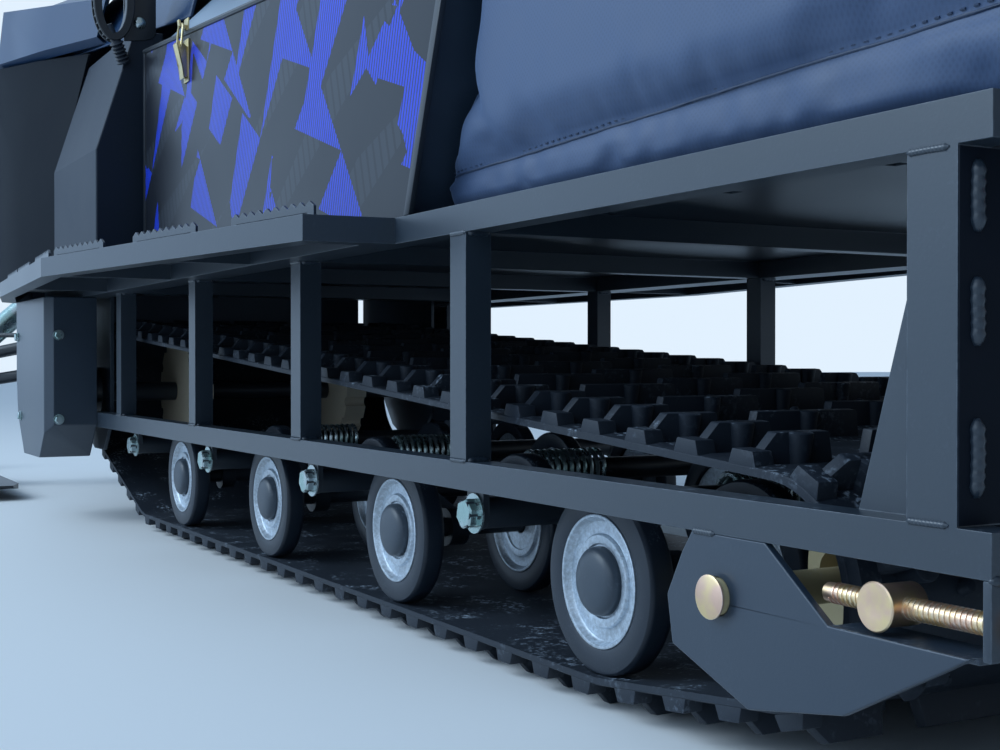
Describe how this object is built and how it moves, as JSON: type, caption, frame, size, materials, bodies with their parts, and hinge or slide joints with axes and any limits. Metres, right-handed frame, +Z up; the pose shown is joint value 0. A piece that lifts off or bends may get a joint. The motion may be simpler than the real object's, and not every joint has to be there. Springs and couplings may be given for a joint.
{
  "type": "utility snowmobile",
  "caption": "Wide-track utility snowmobile with a square-tube side frame, paddle track on sprung road wheels, bench seat, tilting hood and steered skis.",
  "frame": {"origin": "on the floor under the middle of the overall box", "axes": "+X forward, +Y to the vehicle's left, +Z up"},
  "size_m": [3.597, 1.076, 1.2176],
  "materials": {
    "frame_paint": "satin black powder coat",
    "track_rubber": "moulded rubber, matt",
    "wheel_rubber": "smooth rubber, worn",
    "pressed_aluminium": "pressed, dull",
    "dark_steel": "blackened steel",
    "zinc_steel": "yellow zinc plate",
    "sprocket_plastic": "moulded",
    "idler_plastic": "moulded, yellowish",
    "panel_paint": "gloss black with blue shards",
    "cast_alloy": "cast",
    "cover_paint": "pale slate paint",
    "black_plastic": "grained",
    "hood_plastic": "gloss dark",
    "clear_sheet": "smoked clear sheet",
    "lamp_lens": "clear lens",
    "seat_vinyl": "woven-grain leatherette",
    "tail_lens": "red lens",
    "flap_rubber": "sheet rubber",
    "ski_plastic": "moulded, with a steel runner",
    "grip_rubber": "ribbed rubber"
  },
  "bodies": {
    "chassis": {"side_frame_left": "frame_paint", "side_frame_right": "frame_paint", "deck": "frame_paint", "running_boards": "frame_paint", "track": "track_rubber", "road_wheel_tyres": "wheel_rubber", "road_wheel_discs": "pressed_aluminium", "road_wheel_axles": "dark_steel", "pivot_shafts": "dark_steel", "trailing_arms": "frame_paint", "suspension_springs": "zinc_steel", "drive_sprockets": "sprocket_plastic", "rear_idlers": "idler_plastic", "idler_cheeks": "frame_paint", "tensioners": "zinc_steel", "front_guards": "frame_paint", "side_panels": "panel_paint", "firewall": "frame_paint", "engine_block": "cast_alloy", "engine_cover": "cover_paint", "fuel_cap": "black_plastic", "columns": "frame_paint", "belly_tub": "frame_paint", "dashboard": "black_plastic", "latches": "zinc_steel", "intake_rings": "black_plastic", "seat_cushion": "seat_vinyl", "rear_carrier": "frame_paint", "backrest_pad": "seat_vinyl", "tail_lamp": "tail_lens", "snow_flap": "flap_rubber", "tow_hitch": "frame_paint", "front_arms": "frame_paint", "shock_absorbers": "dark_steel", "front_bumper": "frame_paint"},
    "steering": {"steering_column": "dark_steel", "handlebar": "frame_paint", "grips": "grip_rubber"},
    "crank": {"bellcrank": "dark_steel"},
    "knuckle_left": {"spindle_left": "dark_steel", "ski_left": "ski_plastic"},
    "knuckle_right": {"spindle_right": "dark_steel", "ski_right": "ski_plastic"},
    "link_left": {"tie_rod_left": "dark_steel"},
    "link_right": {"tie_rod_right": "dark_steel"},
    "hood": {"hood": "hood_plastic", "windshield": "clear_sheet", "headlamp": "lamp_lens"}
  },
  "joints": [
    {"name": "handlebar_turn", "type": "hinge", "parent": "chassis", "child": "steering", "pos_m": [0.86, 0, 0.372], "axis": [-0.8533, 0, 0.5214], "range_deg": [-32, 32]},
    {"name": "bellcrank_turn", "type": "hinge", "parent": "chassis", "child": "crank", "pos_m": [0.86, 0, 0.325], "axis": [0, 0, 1], "range_deg": [-32, 32]},
    {"name": "ski_turn_left", "type": "hinge", "parent": "chassis", "child": "knuckle_left", "pos_m": [1.23, 0.45, 0.25], "axis": [0, 0, 1], "range_deg": [-32, 32]},
    {"name": "ski_turn_right", "type": "hinge", "parent": "chassis", "child": "knuckle_right", "pos_m": [1.23, -0.45, 0.25], "axis": [0, 0, 1], "range_deg": [-32, 32]},
    {"name": "tie_rod_turn_left", "type": "hinge", "parent": "crank", "child": "link_left", "pos_m": [0.78, 0, 0.338], "axis": [0, 0, 1], "range_deg": [-32, 32]},
    {"name": "tie_rod_turn_right", "type": "hinge", "parent": "crank", "child": "link_right", "pos_m": [0.78, 0, 0.352], "axis": [0, 0, 1], "range_deg": [-32, 32]},
    {"name": "hood_tilt", "type": "hinge", "parent": "chassis", "child": "hood", "pos_m": [1.352, 0, 0.452], "axis": [0, 1, 0], "range_deg": [0, 62]}
  ],
  "couplings": [
    {"joint": "bellcrank_turn", "follows": "handlebar_turn", "ratio": 1},
    {"joint": "ski_turn_left", "follows": "handlebar_turn", "ratio": 1},
    {"joint": "ski_turn_right", "follows": "handlebar_turn", "ratio": 1},
    {"joint": "tie_rod_turn_left", "follows": "handlebar_turn", "ratio": -1},
    {"joint": "tie_rod_turn_right", "follows": "handlebar_turn", "ratio": -1}
  ]
}
